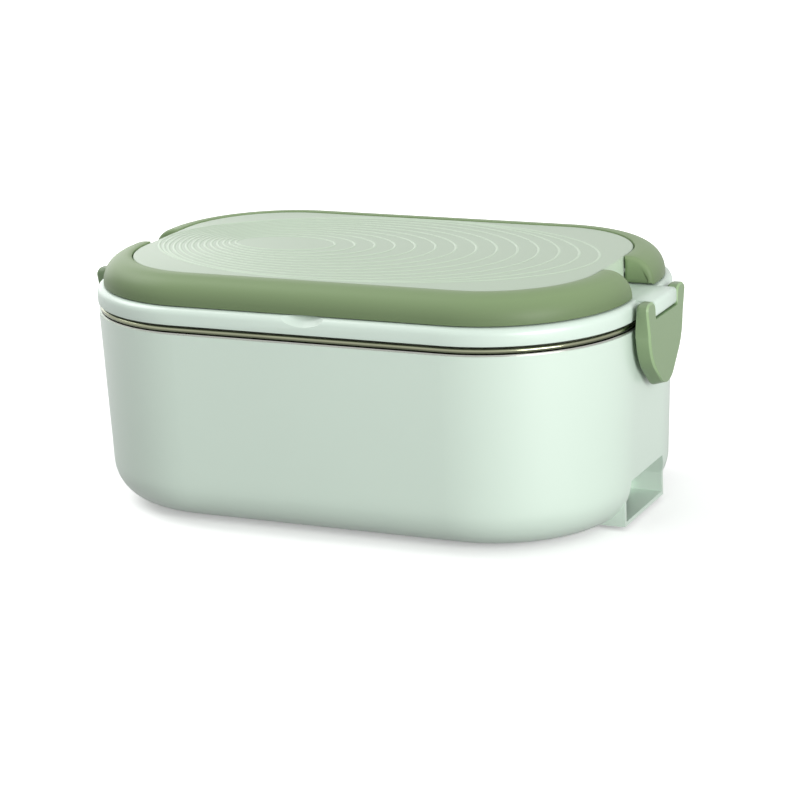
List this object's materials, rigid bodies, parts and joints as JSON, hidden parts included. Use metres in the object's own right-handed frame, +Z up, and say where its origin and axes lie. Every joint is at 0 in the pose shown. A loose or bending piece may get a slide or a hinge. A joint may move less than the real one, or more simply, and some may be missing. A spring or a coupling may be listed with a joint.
{
  "type": "electric lunch box",
  "caption": "Heated lunch box with rounded ends: plastic base with power inlet, steel food container, latched lid and two swing-up grip halves.",
  "frame": {"origin": "on the table, under the middle of the box's outline", "axes": "+X along the length towards the end with the power inlet, -Y the front, +Z up"},
  "size_m": [0.2542, 0.155, 0.107],
  "materials": {
    "mint_shell": "fine satin moulding",
    "mint_base": "fine matt moulding",
    "mint_lid": "satin moulding",
    "mint_panel": "satin with fine raised ripples",
    "sage_grip": "fine matt moulding",
    "sage_latch": "fine matt moulding",
    "liner_plastic": "satin",
    "screw_steel": "plated",
    "pin_steel": "ground",
    "zinc_steel": "zinc plated",
    "liner_steel": "drawn stainless",
    "container_steel": "polished rim, brushed inside",
    "cast_aluminium": "as cast",
    "element_sheath": "heat-darkened sheath",
    "thermostat_can": "pressed can",
    "fuse_can": "plated can",
    "ceramic_white": "unglazed",
    "mica": "layered sheet",
    "inlet_black": "matt",
    "pin_brass": "plated",
    "foot_rubber": "matt",
    "seal_silicone": "translucent silicone",
    "wire_brown": "sleeving",
    "wire_white": "glass-braid sleeving",
    "wire_blue": "sleeving"
  },
  "bodies": {
    "base": {"outer_shell": "mint_shell", "base_plate": "mint_base", "base_screws": "screw_steel", "rubber_feet": "foot_rubber", "heating_liner": "liner_steel", "heating_plate": "cast_aluminium", "heating_element": "element_sheath", "element_strap": "zinc_steel", "heater_screws": "screw_steel", "thermostat": "thermostat_can", "thermal_fuse": "fuse_can", "fuse_holder": "ceramic_white", "insulation_sheet": "mica", "inlet_socket": "inlet_black", "inlet_pins": "pin_brass", "inlet_screws": "screw_steel", "live_wire": "wire_brown", "link_wire": "wire_white", "fuse_wire": "wire_white", "neutral_wire": "wire_blue"},
    "container": {"food_container": "container_steel"},
    "lid": {"lid_base": "mint_lid", "lid_panel": "mint_panel", "lid_liner": "liner_plastic", "lid_seal": "seal_silicone", "lid_screws": "screw_steel", "grip_pins": "pin_steel", "latch_pins": "pin_steel"},
    "grip_front": {"grip_front": "sage_grip"},
    "grip_rear": {"grip_rear": "sage_grip"},
    "latch_left": {"latch_left": "sage_latch"},
    "latch_right": {"latch_right": "sage_latch"}
  },
  "joints": [
    {"name": "container_lift", "type": "slide", "parent": "base", "child": "container", "axis": [0, 0, 1], "range_m": [0, 0.07]},
    {"name": "lid_lift", "type": "slide", "parent": "container", "child": "lid", "axis": [0, 0, 1], "range_m": [0, 0.06]},
    {"name": "grip_front_swing", "type": "hinge", "parent": "lid", "child": "grip_front", "pos_m": [0, -0.0145, 0.1006], "axis": [-1, 0, 0], "range_deg": [0, 98]},
    {"name": "grip_rear_swing", "type": "hinge", "parent": "lid", "child": "grip_rear", "pos_m": [0, 0.0145, 0.1006], "axis": [1, 0, 0], "range_deg": [0, 98]},
    {"name": "latch_left_swing", "type": "hinge", "parent": "lid", "child": "latch_left", "pos_m": [-0.1244, 0, 0.0917], "axis": [0, 1, 0], "range_deg": [0, 50]},
    {"name": "latch_right_swing", "type": "hinge", "parent": "lid", "child": "latch_right", "pos_m": [0.1244, 0, 0.0917], "axis": [0, -1, 0], "range_deg": [0, 50]}
  ]
}
